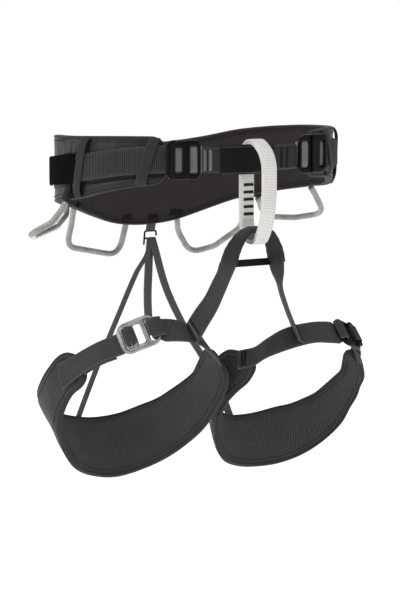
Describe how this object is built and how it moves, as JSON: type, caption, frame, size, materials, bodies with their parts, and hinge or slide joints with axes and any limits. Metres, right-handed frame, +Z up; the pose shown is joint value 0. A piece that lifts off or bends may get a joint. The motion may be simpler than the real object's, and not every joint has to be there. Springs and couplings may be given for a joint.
{
  "type": "climbing harness",
  "caption": "Sit harness with a padded waist belt, webbing belay loop, adjustable padded leg loops, rear risers and tube gear loops on the belt.",
  "frame": {"origin": "centre of the waist belt at the height of the tie-in webbing", "axes": "+Z up along the wearer's spine, -Y the wearer's front, +X the wearer's left"},
  "size_m": [0.3712, 0.2756, 0.3564],
  "materials": {
    "lining_fabric": "matt ripstop weave",
    "padding_foam": "closed-cell foam",
    "shell_fabric": "coated woven shell, slightly shiny",
    "mesh_lining": "perforated spacer mesh",
    "binding_tape": "matt tape",
    "black_webbing": "ribbed woven webbing",
    "elastic_webbing": "flat elastic",
    "abrasion_sleeve": "smooth coated sleeve",
    "white_webbing": "fine ribbed white webbing",
    "black_thread": "bar-tack thread",
    "grey_thread": "bar-tack thread",
    "black_buckle_metal": "black anodised, satin",
    "light_buckle_metal": "satin forged",
    "gear_loop_plastic": "translucent warm grey tube",
    "socket_rubber": "moulded, matt"
  },
  "bodies": {
    "root": {"belt_inner_lining": "lining_fabric", "belt_foam": "padding_foam", "belt_outer_shell": "shell_fabric", "belt_binding_top": "binding_tape", "belt_binding_bottom": "binding_tape", "waist_webbing": "black_webbing", "waist_tail_right": "black_webbing", "waist_tail_left": "black_webbing", "webbing_keeper_1": "black_webbing", "webbing_keeper_2": "black_webbing", "webbing_keeper_3": "black_webbing", "webbing_keeper_4": "black_webbing", "front_tie_in_webbing": "black_webbing", "tie_in_sleeve": "abrasion_sleeve", "tie_in_bar_tacks": "grey_thread", "waist_buckle_frame_right": "black_buckle_metal", "waist_buckle_frame_left": "black_buckle_metal", "gear_loop_sockets": "socket_rubber", "riser_hanger": "black_webbing", "riser_strap_right": "elastic_webbing", "riser_strap_left": "elastic_webbing", "riser_tail": "elastic_webbing", "leg_bridge_sleeve": "abrasion_sleeve", "leg_cross_strap": "elastic_webbing"},
    "belay_loop": {"belay_loop": "white_webbing", "belay_loop_bar_tacks": "black_thread"},
    "riser_hook": {"riser_hook": "black_buckle_metal"},
    "gear_loop_front_right": {"gear_loop_front_right": "gear_loop_plastic"},
    "gear_loop_rear_right": {"gear_loop_rear_right": "gear_loop_plastic"},
    "gear_loop_rear_left": {"gear_loop_rear_left": "gear_loop_plastic"},
    "gear_loop_front_left": {"gear_loop_front_left": "gear_loop_plastic"},
    "leg_loop_right": {"leg_pad_lining_right": "mesh_lining", "leg_pad_foam_right": "padding_foam", "leg_pad_shell_right": "shell_fabric", "leg_pad_binding_right": "binding_tape", "leg_strap_right": "black_webbing", "bridge_webbing_right": "black_webbing", "leg_buckle_frame_right": "light_buckle_metal", "leg_strap_tail_right": "black_webbing"},
    "leg_slider_right": {"leg_buckle_slider_right": "light_buckle_metal"},
    "waist_slider_right": {"waist_buckle_slider_right": "black_buckle_metal"},
    "leg_loop_left": {"leg_pad_lining_left": "mesh_lining", "leg_pad_foam_left": "padding_foam", "leg_pad_shell_left": "shell_fabric", "leg_pad_binding_left": "binding_tape", "leg_strap_left": "black_webbing", "bridge_webbing_left": "black_webbing", "leg_buckle_frame_left": "black_buckle_metal", "leg_strap_tail_left": "black_webbing"},
    "leg_slider_left": {"leg_buckle_slider_left": "black_buckle_metal"},
    "waist_slider_left": {"waist_buckle_slider_left": "black_buckle_metal"}
  },
  "joints": [
    {"name": "gear_loop_front_right_flip", "type": "hinge", "parent": "root", "child": "gear_loop_front_right", "pos_m": [-0.12338, 0.03885, -0.045], "axis": [0.4388, 0.8904, -0.1214], "range_deg": [-3, 40], "stiffness_Nm_per_rad": 0.3},
    {"name": "gear_loop_rear_right_flip", "type": "hinge", "parent": "root", "child": "gear_loop_rear_right", "pos_m": [-0.05069, 0.10837, -0.067], "axis": [0.9176, 0.2742, -0.2879], "range_deg": [-3, 40], "stiffness_Nm_per_rad": 0.3},
    {"name": "gear_loop_rear_left_flip", "type": "hinge", "parent": "root", "child": "gear_loop_rear_left", "pos_m": [0.07253, 0.10042, -0.0625], "axis": [0.8966, -0.4138, 0.1574], "range_deg": [-3, 40], "stiffness_Nm_per_rad": 0.3},
    {"name": "gear_loop_front_left_flip", "type": "hinge", "parent": "root", "child": "gear_loop_front_left", "pos_m": [0.13171, 0.04798, -0.0475], "axis": [0.4817, -0.8449, 0.2327], "range_deg": [-3, 40], "stiffness_Nm_per_rad": 0.3},
    {"name": "belay_loop_twist", "type": "hinge", "parent": "root", "child": "belay_loop", "pos_m": [0, -0.12, -0.024], "axis": [0, 0, 1], "range_deg": [-8, 8]},
    {"name": "riser_hook_swing", "type": "hinge", "parent": "root", "child": "riser_hook", "pos_m": [0.013, 0.12, -0.0884], "axis": [1, 0, 0], "range_deg": [-10, 10]},
    {"name": "leg_loop_right_lift", "type": "hinge", "parent": "root", "child": "leg_loop_right", "pos_m": [0, -0.122, -0.095], "axis": [1, 0, 0], "range_deg": [0, 25], "deforming": ["riser_strap_right"]},
    {"name": "leg_slider_right_tilt", "type": "hinge", "parent": "leg_loop_right", "child": "leg_slider_right", "pos_m": [-0.13124, -0.09702, -0.15892], "axis": [-0.0158, -0.5231, -0.8521], "range_deg": [0, 30]},
    {"name": "waist_slider_right_tilt", "type": "hinge", "parent": "root", "child": "waist_slider_right", "pos_m": [-0.0677, -0.11223, 0.007], "axis": [0, 0, 1], "range_deg": [0, 30]},
    {"name": "leg_loop_left_lift", "type": "hinge", "parent": "root", "child": "leg_loop_left", "pos_m": [0, -0.122, -0.095], "axis": [1, 0, 0], "range_deg": [0, 25], "deforming": ["riser_strap_left"]},
    {"name": "leg_slider_left_tilt", "type": "hinge", "parent": "leg_loop_left", "child": "leg_slider_left", "pos_m": [0.14578, -0.07193, -0.18237], "axis": [-0.1021, 0.6496, 0.7534], "range_deg": [0, 30]},
    {"name": "waist_slider_left_tilt", "type": "hinge", "parent": "root", "child": "waist_slider_left", "pos_m": [0.06648, -0.11186, 0.007], "axis": [0, 0, -1], "range_deg": [0, 30]}
  ]
}
